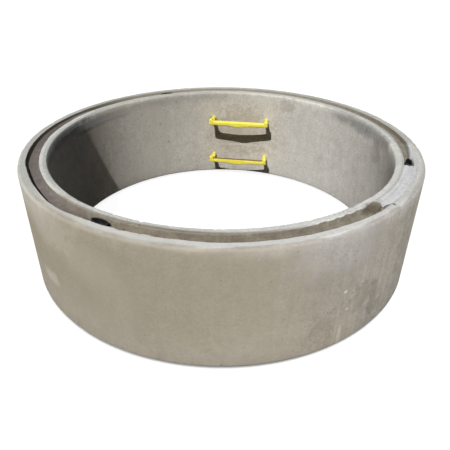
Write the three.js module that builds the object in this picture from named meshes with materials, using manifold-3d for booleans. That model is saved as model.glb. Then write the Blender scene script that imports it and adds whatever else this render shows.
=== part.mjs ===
// Precast concrete chamber ring (culvert ring) with two plastic-covered step irons and three
// cast-in lifting points. Millimetres, +Z up. The origin is on the ring's axis, on the level
// floor that the ring stands on. Bearings are in degrees, anticlockwise from +X seen from above.
import * as THREE from 'three';
import { mergeVertices } from 'three/addons/utils/BufferGeometryUtils.js';
import Module from 'manifold-3d';

// Ring body
const BORE_DIAMETER = 1500;
const WALL = 120;
const RING_DEPTH = 500;            // lower shoulder to upper rim
const OUTER_TOP_ROUND = 12;
const INNER_TOP_ROUND = 9;
const OUTER_BOTTOM_ROUND = 6;
const INNER_BOTTOM_ROUND = 12;

// Joint: a groove in the upper rim, and the tongue under the wall that seats in the next ring's
// groove. Both sit on one joint circle.
const GROOVE_OFFSET = 59;          // from the bore to the middle of the groove
const GROOVE_WIDTH = 46;           // before its edges are taken off
const GROOVE_DEPTH = 22;
const GROOVE_DRAFT = 4;            // each side, from its edge to the floor
const GROOVE_FLOOR_ROUND = 5;
const GROOVE_EDGE_CHAMFER = 3;
const TONGUE_WIDTH = 36;           // at its root
const TONGUE_HEIGHT = 15;
const TONGUE_DRAFT = 4;
const TONGUE_ROUND = 4;

// Stretch of the groove that concrete ran into and filled almost to the rim
const FILL_START = -47;
const FILL_END = -18.8;            // on the inner side of the groove
const FILL_TAIL_END = -1;          // on the outer side, past the right recess cup
const FILL_TAIL_WIDEST = -11.5;    // bearing where the tail is widest past the cup
const FILL_TAIL_WIDTH = 21;        // there, from the groove's outer side
const FILL_DROP = 2;               // below the rim
const FILL_EDGE_CHAMFER = 1;
const FILL_CUP_MARGIN = 1;         // beside the recess cup

// Step irons
const STEP_BEARING = 81.5;         // of the steps' middle line
const UPPER_STEP_DROP = 153;       // rim to the middle of the upper step
const STEP_SPACING = 235;
const LEG_SPACING = 315;
const LEG_DIAMETER = 24;
const LEG_EMBEDMENT = 80;          // into the wall
const STEP_PROJECTION = 100;       // wall to the front of the tread, beside a leg
const TREAD_LENGTH = 346;
const TREAD_WIDTH = 24;            // front to back
const TREAD_HEIGHT = 22;
const TREAD_ROUND = 7;
const GRIP_LENGTH = 110;           // thicker middle of the tread
const GRIP_DROP = 3;
const GRIP_TAPER = 14;             // length over which the tread thickens
const LUG_LENGTH = 66;             // short lug under the thicker middle
const LUG_DROP = 4;
const LUG_DRAFT = 3;
const EAR_HEIGHT = 14;             // upstand at each end of the tread
const EAR_WIDTH = 18;
const EAR_FOOT = 9;                // slope from the ear down to the tread
const FIT_CLEARANCE = 0.3;         // between a cast-in piece and the concrete

// Lifting points: a plastic recess cup that stands in the groove round the head of a cast-in
// anchor
const LIFTING_BEARINGS = { left: -119.7, right: -16, back: 113.7 };
const LIFTING_INSET = 4;           // toward the bore from the middle of the groove
const CUP_LENGTH = 72;             // along the groove
const CUP_WIDTH = 28;
const CUP_RISE = 18;               // groove's floor to the cup's rim
const CUP_DEPTH = 24;              // groove's floor to the cup's lowest point
const CUP_WALL = 2.5;
const ANCHOR_HEAD_DIAMETER = 19;
const ANCHOR_HEAD_HEIGHT = 7;
const ANCHOR_SHANK_DIAMETER = 10;
const ANCHOR_FOOT_DIAMETER = 25;
const ANCHOR_FOOT_HEIGHT = 6;
const ANCHOR_LENGTH = 120;
const ANCHOR_HEAD_DROP = 12;       // cup's rim to the top of the head

// Fineness: facets round each turned shape, and steps along each rounded edge
const RING_FACETS = 96;
const LEG_FACETS = 16;
const CUP_FACETS = 20;
const ANCHOR_FACETS = 12;
const BODY_EDGE_STEPS = 3;
const GROOVE_EDGE_STEPS = 2;
const TREAD_EDGE_STEPS = 3;

// Worked out from the sizes above
const boreRadius = BORE_DIAMETER / 2;
const outerRadius = boreRadius + WALL;
const rimLevel = TONGUE_HEIGHT + RING_DEPTH;
const jointRadius = boreRadius + GROOVE_OFFSET;
const liftingRadius = jointRadius - LIFTING_INSET;
const grooveFloorLevel = rimLevel - GROOVE_DEPTH;
const stepLevels = {
  upper: rimLevel - UPPER_STEP_DROP,
  lower: rimLevel - UPPER_STEP_DROP - STEP_SPACING,
};
const overcut = 10;                // how far a cutter runs past the face it cuts
const samePoint = 1e-3;            // points nearer than this are one point

const wasm = await Module();
wasm.setup();

function solidFrom(geometry) {
  const bare = geometry.index ? geometry.toNonIndexed() : geometry.clone();
  bare.deleteAttribute('normal');
  bare.deleteAttribute('uv');
  const merged = mergeVertices(bare, samePoint);
  const vertProperties = new Float32Array(merged.attributes.position.array);
  const triVerts = new Uint32Array(merged.index.array);
  const mesh = new wasm.Mesh({ numProp: 3, vertProperties, triVerts });
  mesh.merge();
  return new wasm.Manifold(mesh);
}

function geometryFrom(solid) {
  const mesh = solid.getMesh();
  const geometry = new THREE.BufferGeometry();
  geometry.setAttribute('position', new THREE.BufferAttribute(mesh.vertProperties, 3));
  geometry.setIndex(new THREE.BufferAttribute(mesh.triVerts, 1));
  geometry.computeVertexNormals();
  return geometry;
}

// Closed outline from corners [x, y, rounding], listed anticlockwise. Two roundings that share a
// short side meet just before its middle.
function roundedOutline(corners) {
  const nearMiddle = 0.49;
  const shape = new THREE.Shape();
  corners.forEach(([x, y, rounding = 0], i) => {
    const corner = new THREE.Vector2(x, y);
    const before = new THREE.Vector2(...corners.at(i - 1).slice(0, 2));
    const after = new THREE.Vector2(...corners[(i + 1) % corners.length].slice(0, 2));
    const toward = (other) => {
      const reach = Math.min(rounding, nearMiddle * corner.distanceTo(other));
      return other.clone().sub(corner).setLength(reach).add(corner);
    };
    const arrive = rounding ? toward(before) : corner;
    if (i === 0) shape.moveTo(arrive.x, arrive.y);
    else shape.lineTo(arrive.x, arrive.y);
    if (rounding) {
      const leave = toward(after);
      shape.quadraticCurveTo(x, y, leave.x, leave.y);
    }
  });
  shape.closePath();
  return shape;
}

// Solid of revolution about Z from corners [radius, level, rounding], listed anticlockwise.
function turned(corners, edgeSteps) {
  const outline = roundedOutline(corners).getPoints(edgeSteps);
  const profile = outline.filter((p, i) => i === 0 || p.distanceTo(outline[i - 1]) > samePoint);
  if (profile[0].distanceTo(profile.at(-1)) > samePoint) profile.push(profile[0].clone());
  const geometry = new THREE.LatheGeometry(profile, RING_FACETS);
  geometry.rotateX(Math.PI / 2);
  return solidFrom(geometry);
}

// Round bar on the Z axis between two levels.
function uprightBar(diameter, from, to, facets = ANCHOR_FACETS) {
  const geometry = new THREE.CylinderGeometry(diameter / 2, diameter / 2, to - from, facets);
  geometry.rotateX(Math.PI / 2);
  geometry.translate(0, 0, (from + to) / 2);
  return solidFrom(geometry);
}

// Ellipsoid about the origin with its poles on Z.
function ellipsoid(length, width, height, facets) {
  const geometry = new THREE.SphereGeometry(0.5, facets, facets / 2);
  geometry.rotateX(Math.PI / 2);
  geometry.scale(length, width, height);
  return solidFrom(geometry);
}

// Moves a solid to its bearing on a circle round the ring's axis, at a level, with the solid's
// own -Y turned toward the axis.
function placed(solid, bearing, radius, level) {
  return solid.rotate([0, 0, -90]).translate([radius, 0, level]).rotate([0, 0, bearing]);
}

// ---- Ring body ----

function ringBody() {
  const root = TONGUE_WIDTH / 2;
  const tip = root - TONGUE_DRAFT;
  return turned([
    [boreRadius, TONGUE_HEIGHT, INNER_BOTTOM_ROUND],
    [jointRadius - root, TONGUE_HEIGHT, TONGUE_ROUND],
    [jointRadius - tip, 0, TONGUE_ROUND],
    [jointRadius + tip, 0, TONGUE_ROUND],
    [jointRadius + root, TONGUE_HEIGHT, TONGUE_ROUND],
    [outerRadius, TONGUE_HEIGHT, OUTER_BOTTOM_ROUND],
    [outerRadius, rimLevel, OUTER_TOP_ROUND],
    [boreRadius, rimLevel, INNER_TOP_ROUND],
  ], BODY_EDGE_STEPS);
}

// Cutter for the groove: a trough with sloped sides and a chamfer at each edge.
function grooveCutter() {
  const half = GROOVE_WIDTH / 2;
  const floorHalf = half - GROOVE_DRAFT;
  const wide = half + GROOVE_EDGE_CHAMFER + overcut;
  return turned([
    [jointRadius - floorHalf, grooveFloorLevel, GROOVE_FLOOR_ROUND],
    [jointRadius + floorHalf, grooveFloorLevel, GROOVE_FLOOR_ROUND],
    [jointRadius + half, rimLevel - GROOVE_EDGE_CHAMFER],
    [jointRadius + wide, rimLevel + overcut],
    [jointRadius - wide, rimLevel + overcut],
    [jointRadius - half, rimLevel - GROOVE_EDGE_CHAMFER],
  ], GROOVE_EDGE_STEPS);
}

// Cutter for the shallow dish that is left of the groove where it is filled.
function dishCutter() {
  const half = GROOVE_WIDTH / 2;
  const wide = half + FILL_EDGE_CHAMFER + overcut;
  return turned([
    [jointRadius - half, rimLevel - FILL_DROP],
    [jointRadius + half, rimLevel - FILL_DROP],
    [jointRadius + half, rimLevel - FILL_EDGE_CHAMFER],
    [jointRadius + wide, rimLevel + overcut],
    [jointRadius - wide, rimLevel + overcut],
    [jointRadius - half, rimLevel - FILL_EDGE_CHAMFER],
  ], GROOVE_EDGE_STEPS);
}

// Upright block over the filled stretch, wider than the groove. Its tail passes the right recess
// cup on the cup's outer side, widens past the cup and then dies out along the groove's outer side.
function filledStretch() {
  const inner = jointRadius - GROOVE_WIDTH;
  const outer = jointRadius + GROOVE_WIDTH;
  const grooveOuter = jointRadius + GROOVE_WIDTH / 2;
  const besideCup = liftingRadius + CUP_WIDTH / 2 + FILL_CUP_MARGIN;
  const start = THREE.MathUtils.degToRad(FILL_START);
  const end = THREE.MathUtils.degToRad(FILL_END);
  const cupEnd = THREE.MathUtils.degToRad(LIFTING_BEARINGS.right) + CUP_LENGTH / 2 / liftingRadius;
  const widest = THREE.MathUtils.degToRad(FILL_TAIL_WIDEST);
  const tailEnd = THREE.MathUtils.degToRad(FILL_TAIL_END);
  const at = (radius, bearing) => [radius * Math.cos(bearing), radius * Math.sin(bearing)];
  const plan = new THREE.Shape();
  plan.moveTo(...at(inner, start));
  plan.absarc(0, 0, outer, start, tailEnd, false);
  plan.lineTo(...at(grooveOuter, tailEnd));
  plan.lineTo(...at(grooveOuter - FILL_TAIL_WIDTH, widest));
  plan.lineTo(...at(besideCup, cupEnd));
  plan.lineTo(...at(besideCup, end));
  plan.absarc(0, 0, inner, end, start, true);
  const height = GROOVE_DEPTH + 2 * overcut;
  const geometry = new THREE.ExtrudeGeometry(plan, { depth: height, bevelEnabled: false });
  geometry.translate(0, 0, grooveFloorLevel - overcut);
  return solidFrom(geometry);
}

// ---- Step irons ----
// A step's own frame: X along the tread, -Y toward the ring's axis, Z up, with the origin
// midway between the two points where the legs leave the wall.

const legCircle = Math.sqrt(boreRadius ** 2 - (LEG_SPACING / 2) ** 2);
const treadMiddle = -STEP_PROJECTION + TREAD_WIDTH / 2;

// A leg, or with `clearance` all round the hole that it is cast into.
function stepLeg(side, clearance = 0) {
  const section = new THREE.Shape();
  section.absarc(0, 0, LEG_DIAMETER / 2 + clearance, 0, 2 * Math.PI, false);
  const inWall = new THREE.Vector3(side * LEG_SPACING / 2, LEG_EMBEDMENT + clearance, 0);
  const inTread = new THREE.Vector3(side * LEG_SPACING / 2, treadMiddle, 0);
  const settings = {
    extrudePath: new THREE.LineCurve3(inWall, inTread),
    steps: 1,
    curveSegments: LEG_FACETS / 2,
  };
  return solidFrom(new THREE.ExtrudeGeometry(section, settings));
}

// The tread is its front view drawn back with rounded edges. Its middle is thicker, with a lug
// below, and each end turns up in an ear that stops a boot sliding off.
function tread() {
  const bottom = TREAD_ROUND - TREAD_HEIGHT / 2;
  const top = TREAD_HEIGHT / 2 - TREAD_ROUND;
  const end = TREAD_LENGTH / 2 - TREAD_ROUND;
  const lugEnd = LUG_LENGTH / 2 - TREAD_ROUND;
  const gripEnd = GRIP_LENGTH / 2 - TREAD_ROUND;
  const earInside = TREAD_LENGTH / 2 - EAR_WIDTH + TREAD_ROUND;
  const rightHalf = [
    [lugEnd - LUG_DRAFT, bottom - GRIP_DROP - LUG_DROP, LUG_DRAFT],
    [lugEnd, bottom - GRIP_DROP],
    [gripEnd, bottom - GRIP_DROP, GRIP_TAPER / 2],
    [gripEnd + GRIP_TAPER, bottom, GRIP_TAPER / 2],
    [end, bottom, TREAD_ROUND],
    [end, top + EAR_HEIGHT, TREAD_ROUND],
    [earInside, top + EAR_HEIGHT, TREAD_ROUND],
    [earInside - EAR_FOOT, top, EAR_FOOT],
  ];
  const leftHalf = rightHalf.map(([x, y, rounding]) => [-x, y, rounding]).reverse();
  const depth = TREAD_WIDTH - 2 * TREAD_ROUND;
  const settings = {
    depth,
    bevelThickness: TREAD_ROUND,
    bevelSize: TREAD_ROUND,
    bevelSegments: TREAD_EDGE_STEPS,
    curveSegments: TREAD_EDGE_STEPS,
  };
  const frontView = roundedOutline([...rightHalf, ...leftHalf]);
  const geometry = new THREE.ExtrudeGeometry(frontView, settings);
  geometry.rotateX(Math.PI / 2);
  geometry.translate(0, treadMiddle + depth / 2, 0);
  return solidFrom(geometry);
}

function stepIron() {
  return tread().add(stepLeg(-1)).add(stepLeg(1));
}

// ---- Lifting points ----
// A lifting point's own frame: X along the groove, Z up, with the origin in the groove's floor,
// midway along the cup.

const headTop = CUP_RISE - ANCHOR_HEAD_DROP;
const headMiddle = headTop - ANCHOR_HEAD_HEIGHT / 2;

// The recess: half an egg below the groove's floor, with an oval collar up to `top`. With `inset`
// it is the like shape that lies that far inside it.
function recess(inset = 0, top = CUP_RISE + overcut) {
  const across = 2 * inset;
  const length = CUP_LENGTH - across;
  const width = CUP_WIDTH - across;
  const egg = ellipsoid(length, width, 2 * CUP_DEPTH - across, CUP_FACETS);
  const collar = uprightBar(1, 0, top, CUP_FACETS).scale([length, width, 1]);
  return egg.trimByPlane([0, 0, -1], 0).add(collar);
}

// Shank and foot of the anchor, or with `clearance` all round the hole that they are cast into.
function anchorStem(clearance = 0) {
  const foot = headTop - ANCHOR_LENGTH;
  const wider = 2 * clearance;
  const footTop = foot + ANCHOR_FOOT_HEIGHT + clearance;
  const shank = uprightBar(ANCHOR_SHANK_DIAMETER + wider, foot, headMiddle);
  return shank.add(uprightBar(ANCHOR_FOOT_DIAMETER + wider, foot - clearance, footTop));
}

function anchor() {
  const diameter = ANCHOR_HEAD_DIAMETER;
  const head = ellipsoid(diameter, diameter, ANCHOR_HEAD_HEIGHT, ANCHOR_FACETS);
  return anchorStem().add(head.translate([0, 0, headMiddle]));
}

// The cup lines the recess and stands up in the groove. The anchor's shank passes through it.
function recessCup() {
  const shell = recess(FIT_CLEARANCE, CUP_RISE).subtract(recess(FIT_CLEARANCE + CUP_WALL));
  return shell.subtract(anchorStem(FIT_CLEARANCE));
}

// ---- Assembly ----

const concrete = new THREE.MeshStandardMaterial({ color: '#a9a191', roughness: 0.9, metalness: 0 });
const yellowPlastic = new THREE.MeshStandardMaterial({ color: '#f2e234', roughness: 0.45, metalness: 0 });
const blackPlastic = new THREE.MeshStandardMaterial({ color: '#1d1c1e', roughness: 0.5, metalness: 0 });
const darkSteel = new THREE.MeshStandardMaterial({ color: '#3a3a3d', roughness: 0.5, metalness: 0.8 });

const assembly = new THREE.Group();

function addPiece(name, solid, material) {
  const mesh = new THREE.Mesh(geometryFrom(solid), material);
  mesh.name = name;
  assembly.add(mesh);
}

let ring = ringBody();
ring = ring.subtract(grooveCutter().subtract(filledStretch()));
ring = ring.subtract(dishCutter());
for (const level of Object.values(stepLevels)) {
  for (const side of [-1, 1]) {
    ring = ring.subtract(placed(stepLeg(side, FIT_CLEARANCE), STEP_BEARING, legCircle, level));
  }
}
for (const bearing of Object.values(LIFTING_BEARINGS)) {
  const pocket = recess().add(anchorStem(FIT_CLEARANCE));
  ring = ring.subtract(placed(pocket, bearing, liftingRadius, grooveFloorLevel));
}
addPiece('chamber_ring', ring, concrete);

for (const [name, level] of Object.entries(stepLevels)) {
  const step = placed(stepIron(), STEP_BEARING, legCircle, level);
  addPiece(`${name}_step_iron`, step, yellowPlastic);
}
for (const [name, bearing] of Object.entries(LIFTING_BEARINGS)) {
  const spot = [bearing, liftingRadius, grooveFloorLevel];
  addPiece(`${name}_recess_cup`, placed(recessCup(), ...spot), blackPlastic);
  addPiece(`${name}_lifting_anchor`, placed(anchor(), ...spot), darkSteel);
}

export default assembly;
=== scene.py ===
import math

import bmesh
import bpy
from mathutils import Matrix, Vector, noise


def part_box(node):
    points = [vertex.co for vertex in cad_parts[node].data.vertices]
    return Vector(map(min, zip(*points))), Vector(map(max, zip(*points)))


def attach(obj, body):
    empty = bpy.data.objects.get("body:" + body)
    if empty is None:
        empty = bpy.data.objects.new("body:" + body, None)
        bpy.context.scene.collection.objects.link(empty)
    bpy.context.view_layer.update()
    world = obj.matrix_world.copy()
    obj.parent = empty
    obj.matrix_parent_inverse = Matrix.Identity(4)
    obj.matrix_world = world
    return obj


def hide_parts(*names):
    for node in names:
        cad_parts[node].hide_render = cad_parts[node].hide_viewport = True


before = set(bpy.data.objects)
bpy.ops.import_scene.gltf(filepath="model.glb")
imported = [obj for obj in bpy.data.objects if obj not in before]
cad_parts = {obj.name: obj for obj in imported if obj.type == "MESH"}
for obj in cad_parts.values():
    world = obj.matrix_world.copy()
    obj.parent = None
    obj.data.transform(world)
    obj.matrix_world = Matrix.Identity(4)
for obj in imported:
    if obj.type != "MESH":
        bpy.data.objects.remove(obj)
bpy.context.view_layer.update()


# ---- Chamber ring ----
# One piece of dry, vibrated concrete, cast upright between two steel moulds. The moulds leave
# smooth walls with air holes and faint upright streaks. The rim and its jointing groove are
# pressed from above, and a stretch of the groove has run full of concrete.

MM = 0.001
_, (OUTER_RADIUS, _, RIM_LEVEL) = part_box("chamber_ring")
BORE_RADIUS = OUTER_RADIUS - 120 * MM
SHOULDER_LEVEL = 15 * MM
JOINT_RADIUS = BORE_RADIUS + 59 * MM
GROOVE_HALF = 23 * MM
GROOVE_DEPTH = 22 * MM
GROOVE_DRAFT = 4 * MM
GROOVE_CHAMFER = 3 * MM
FLOOR_LEVEL = RIM_LEVEL - GROOVE_DEPTH
TONGUE_HALF = 18 * MM
TONGUE_DRAFT = 4 * MM
RING_COLUMNS = 900


def add_node(tree, kind, inputs=None, **settings):
    """Adds a node. An input is a value, a hex colour, or a socket or node to link from."""
    node = tree.nodes.new(kind)
    for name, value in settings.items():
        setattr(node, name, value)
    for name, value in (inputs or {}).items():
        if isinstance(value, bpy.types.Node):
            value = next(socket for socket in value.outputs if socket.enabled)
        if isinstance(value, bpy.types.NodeSocket):
            tree.links.new(value, node.inputs[name])
        else:
            node.inputs[name].default_value = colour(value) if isinstance(value, str) else value
    return node


def colour(code):
    """Linear RGBA of an sRGB hex code."""
    channels = [int(code[i:i + 2], 16) / 255 for i in (1, 3, 5)]
    linear = [c / 12.92 if c <= 0.04045 else ((c + 0.055) / 1.055) ** 2.4 for c in channels]
    return (*linear, 1.0)


def rounded_section(corners, arc_steps):
    """Closed section from corners (radius, level, rounding, spacing of the side after it)."""
    points = []
    for i, (x, y, rounding, spacing) in enumerate(corners):
        corner = Vector((x, y))
        before = Vector(corners[i - 1][:2])
        after = Vector(corners[(i + 1) % len(corners)][:2])
        start = corner + (before - corner).normalized() * rounding
        end = corner + (after - corner).normalized() * rounding
        if rounding:
            for step in range(arc_steps + 1):
                t = step / arc_steps
                points.append((1 - t) ** 2 * start + 2 * t * (1 - t) * corner + t ** 2 * end)
        else:
            points.append(corner)
        next_start = after + (corner - after).normalized() * corners[(i + 1) % len(corners)][2]
        count = max(1, round((next_start - end).length / spacing))
        points += [end.lerp(next_start, k / count) for k in range(1, count)]
    return points


groove_foot = GROOVE_HALF - GROOVE_DRAFT
section = rounded_section([
    (BORE_RADIUS, SHOULDER_LEVEL, 12 * MM, 8 * MM),
    (JOINT_RADIUS - TONGUE_HALF, SHOULDER_LEVEL, 4 * MM, 6 * MM),
    (JOINT_RADIUS - TONGUE_HALF + TONGUE_DRAFT, 0, 4 * MM, 8 * MM),
    (JOINT_RADIUS + TONGUE_HALF - TONGUE_DRAFT, 0, 4 * MM, 6 * MM),
    (JOINT_RADIUS + TONGUE_HALF, SHOULDER_LEVEL, 4 * MM, 8 * MM),
    (OUTER_RADIUS, SHOULDER_LEVEL, 6 * MM, 50 * MM),
    (OUTER_RADIUS, RIM_LEVEL, 12 * MM, 4.5 * MM),
    (JOINT_RADIUS + GROOVE_HALF + GROOVE_CHAMFER, RIM_LEVEL, 2 * MM, 5 * MM),
    (JOINT_RADIUS + GROOVE_HALF, RIM_LEVEL - GROOVE_CHAMFER, 0, 4 * MM),
    (JOINT_RADIUS + groove_foot, FLOOR_LEVEL, 5 * MM, 4 * MM),
    (JOINT_RADIUS - groove_foot, FLOOR_LEVEL, 5 * MM, 4 * MM),
    (JOINT_RADIUS - GROOVE_HALF, RIM_LEVEL - GROOVE_CHAMFER, 0, 5 * MM),
    (JOINT_RADIUS - GROOVE_HALF - GROOVE_CHAMFER, RIM_LEVEL, 2 * MM, 4.5 * MM),
    (BORE_RADIUS, RIM_LEVEL, 9 * MM, 50 * MM),
], arc_steps=4)

section_mesh = bpy.data.meshes.new("ring_section")
section_mesh.from_pydata(
    [(p.x - JOINT_RADIUS, -p.y, 0) for p in section],
    [(i, (i + 1) % len(section)) for i in range(len(section))],
    [],
)


def placed(name, data):
    """New object at the origin."""
    thing = bpy.data.objects.new(name, data)
    bpy.context.collection.objects.link(thing)
    return thing


def finished_mesh(piece):
    """Plain mesh of an object as its modifiers leave it."""
    evaluated = piece.evaluated_get(bpy.context.evaluated_depsgraph_get())
    return bpy.data.meshes.new_from_object(evaluated)


def new_tree(name, inputs):
    """Geometry Nodes tree with a geometry in and out, and inputs {name: (type, value)}."""
    tree = bpy.data.node_groups.new(name, "GeometryNodeTree")
    tree.interface.new_socket("Geometry", in_out="INPUT", socket_type="NodeSocketGeometry")
    tree.interface.new_socket("Geometry", in_out="OUTPUT", socket_type="NodeSocketGeometry")
    for label, (kind, value) in inputs.items():
        socket = tree.interface.new_socket(label, in_out="INPUT", socket_type=kind)
        if value is not None:
            socket.default_value = value
    return tree


def end_tree(tree, geometry, material):
    """Ends a Geometry Nodes tree: makes instances real, and sets the material."""
    real = add_node(tree, "GeometryNodeRealizeInstances", {"Geometry": geometry})
    dressed = add_node(tree, "GeometryNodeSetMaterial", {"Geometry": real, "Material": material})
    add_node(tree, "NodeGroupOutput", {"Geometry": dressed})


def grown(piece_name, carrier, tree, values):
    """Runs a tree on an object with the named input values, and returns a plain mesh object."""
    modifier = carrier.modifiers.new(tree.name, "NODES")
    modifier.node_group = tree
    for item in tree.interface.items_tree:
        if item.item_type == "SOCKET" and item.in_out == "INPUT" and item.name in values:
            modifier[item.identifier] = values[item.name]
    mesh = finished_mesh(carrier)
    mesh.name = piece_name
    bpy.data.objects.remove(carrier)
    return placed(piece_name, mesh)


# The section is turned round the joint circle.
turning = new_tree("turn_section", {
    "Joint Radius": ("NodeSocketFloat", JOINT_RADIUS),
    "Columns": ("NodeSocketInt", RING_COLUMNS),
    "Material": ("NodeSocketMaterial", None),
})
given = add_node(turning, "NodeGroupInput")
circle = add_node(turning, "GeometryNodeCurvePrimitiveCircle", {
    "Resolution": given.outputs["Columns"], "Radius": given.outputs["Joint Radius"],
})
outline = add_node(turning, "GeometryNodeMeshToCurve", {"Mesh": given.outputs["Geometry"]})
swept = add_node(turning, "GeometryNodeCurveToMesh", {
    "Curve": circle, "Profile Curve": outline,
})
smooth = add_node(turning, "GeometryNodeSetShadeSmooth", {"Geometry": swept})
end_tree(turning, smooth, given.outputs["Material"])

cast_concrete = bpy.data.materials.new("dry-cast concrete")
carrier = placed("ring_section", section_mesh)
ring = grown("cast_ring", carrier, turning, {"Material": cast_concrete})


def rough(place, size, octaves=3):
    """Even noise from about -1 to 1, with lumps of that size."""
    return noise.fractal(Vector(place) / size, 1.0, 2.0, octaves)


def ramp(value, start, end):
    """Smooth step from 0 at start to 1 at end."""
    t = min(1.0, max(0.0, (value - start) / (end - start)))
    return t * t * (3 - 2 * t)


def along(bearing, start, full, waning=None, end=None):
    """1 on a stretch of bearings, rising from start to full and falling from waning to end."""
    return ramp(bearing, start, full) * (1 if end is None else ramp(bearing, end, waning))


# Bearings in degrees, anticlockwise from +X. The fill has a tail on the groove's outer side.
FILL_START = -47.0
FILL_END = -18.8
TAIL_START = -13.4
TAIL_WIDEST = -11.5
TAIL_END = -1.0
FILL_DROP = 2 * MM
HEAP_TOP = 14 * MM
# Stretches where the casting leaves its true form: mm up for the heap of droppings and outward
# for the edges, and the bearings where it starts, is full, wanes and ends
HEAP = [(12, 140, 152), (-8, 170, 192), (-4, 196, 212)]
GROOVE_INNER_EDGE = [
    (6, 138, 152), (3, -165, -178), (9, 136, 148, 158, 168), (6, -9, 8, 97, 104), (4, 122, 129),
]
GROOVE_OUTER_EDGE = [
    (5, 153, 166), (5, -153, -166), (2, 50, 70, 153, 166), (-3, -138, -146, -154, -164),
    (3, -127, -132, -137, -141),
]
BORE_EDGE = [(4.5, -118, -132, -156, -168), (4.5, -50, -38, 25, 40)]


def filled_level(bearing, radius, place):
    """Top of the concrete that ran into the groove, or the groove's floor where there is none."""
    wander = 0.7 * rough(place, 20 * MM)
    start = FILL_START + 0.6 - 1.0 * ramp(radius, JOINT_RADIUS - 8 * MM, JOINT_RADIUS + 12 * MM)
    body = ramp(bearing + wander, start - 0.3, start + 0.3)
    body *= ramp(bearing + wander, FILL_END + 0.3, FILL_END - 0.3)
    # Its tail passes the recess cup on the outer side, widens and dies out.
    widening = ramp(bearing, TAIL_START, TAIL_WIDEST)
    dying = min(1.0, max(0.0, (bearing - TAIL_WIDEST) / (TAIL_END - TAIL_WIDEST)))
    width = (11 + 10 * widening - 20 * dying + 1.5 * rough(place, 15 * MM)) * MM
    foot = JOINT_RADIUS + GROOVE_HALF - width
    tail = ramp(radius, foot - MM, foot + 5 * MM)
    tail *= ramp(bearing, FILL_END - 1, FILL_END) * ramp(bearing, TAIL_END + 0.5, TAIL_END - 0.5)
    # Droppings lie along the foot of the outer wall on the left.
    heap = sum(rise * along(bearing % 360, *stretch) for rise, *stretch in HEAP)
    heap *= max(0.0, radius - JOINT_RADIUS - 3 * MM) / 16 + 0.1 * MM * rough(place, 25 * MM)
    return FLOOR_LEVEL + max((GROOVE_DEPTH - FILL_DROP) * max(body, tail), min(heap, HEAP_TOP))


def cast_shape(place):
    """Where a point of the plain turned ring lies after casting, stripping and handling."""
    radius = math.hypot(place.x, place.y)
    bearing = math.degrees(math.atan2(place.y, place.x))
    level = place.z

    # Groove: filled stretch, broken edges
    if abs(radius - JOINT_RADIUS) < GROOVE_HALF + MM and level > FLOOR_LEVEL - MM:
        level = max(level, filled_level(bearing, radius, place))
    inner_edge = ramp(radius, BORE_RADIUS + 8 * MM, BORE_RADIUS + 30 * MM)
    inner_edge *= ramp(radius, JOINT_RADIUS - 12 * MM, JOINT_RADIUS - 20 * MM)
    inner_edge *= ramp(level, RIM_LEVEL - 18 * MM, RIM_LEVEL - 3 * MM)
    outer_edge = ramp(radius, OUTER_RADIUS - 24 * MM, OUTER_RADIUS - 37 * MM)
    outer_edge *= ramp(radius, JOINT_RADIUS + 14 * MM, JOINT_RADIUS + 21 * MM)
    outer_edge *= ramp(level, RIM_LEVEL - 18 * MM, RIM_LEVEL - 3 * MM)
    if inner_edge > 0:
        at_edge = Vector((place.x, place.y, 0)) * (JOINT_RADIUS - GROOVE_HALF) / radius
        # It is broken before the fill's start, with the deepest bite at the corner.
        bite = along(bearing, -72, -62, FILL_START, FILL_START + 2)
        bite *= 1.5 + 5 * ramp(rough(at_edge, 20 * MM, 2), -0.05, 0.3)
        bite += 11.5 * along(bearing, -50.0, -48.9, FILL_START + 0.5, FILL_START + 1.2)
        drawn = max(shift * along(bearing, *stretch) for shift, *stretch in GROOVE_INNER_EDGE)
        radius += inner_edge * (drawn - bite + 0.9 * rough(at_edge, 28 * MM)) * MM
    if outer_edge > 0:
        # Crusts of concrete narrow the groove at the front.
        crust = along(bearing, -130, -121, -66, -50) * (0.35 + 0.65 * ramp(bearing, -90, -100))
        crust *= 10 * (1 + 0.35 * rough(place, 45 * MM))
        drawn = sum(shift * along(bearing, *stretch) for shift, *stretch in GROOVE_OUTER_EDGE)
        radius += outer_edge * (drawn - crust + 1.1 * rough(place, 28 * MM)) * MM

    # Arrises: worn all round, with chips
    at_top = ramp(level, RIM_LEVEL - 15 * MM, RIM_LEVEL - 2 * MM)
    at_outside = ramp(radius, OUTER_RADIUS - 15 * MM, OUTER_RADIUS - 2 * MM)
    at_bore = ramp(radius, BORE_RADIUS + 12 * MM, BORE_RADIUS + MM)
    at_foot = ramp(level, SHOULDER_LEVEL + 10 * MM, SHOULDER_LEVEL + MM)
    wear = 0.9 + 0.9 * rough(place, 90 * MM) + 4.5 * ramp(rough(place, 26 * MM), 0.2, 0.7)
    worn = max(0.0, wear) * MM * at_top * at_outside
    radius -= 0.7 * worn
    level -= 0.7 * worn
    rubbed = MM * sum(shift * along(bearing, *stretch) for shift, *stretch in BORE_EDGE)
    radius += rubbed * at_top * ramp(radius, BORE_RADIUS + 14 * MM, BORE_RADIUS + 6 * MM)
    chip = 3.5 * MM * ramp(rough(place, 20 * MM), 0.25, 0.75)
    radius += chip * at_top * at_bore
    level -= chip * at_top * at_bore
    radius -= chip * at_foot * at_outside
    radius += chip * at_foot * at_bore

    # Walls: slightly out of true
    at_wall = ramp(radius, OUTER_RADIUS - 4 * MM, OUTER_RADIUS)
    radius -= 0.6 * MM * (1 + rough(place, 350 * MM)) * at_wall
    at_wall = ramp(radius, BORE_RADIUS + 4 * MM, BORE_RADIUS)
    radius += 0.6 * MM * (1 + rough(place, 300 * MM)) * at_wall
    angle = math.radians(bearing)
    return Vector((radius * math.cos(angle), radius * math.sin(angle), level))


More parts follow.
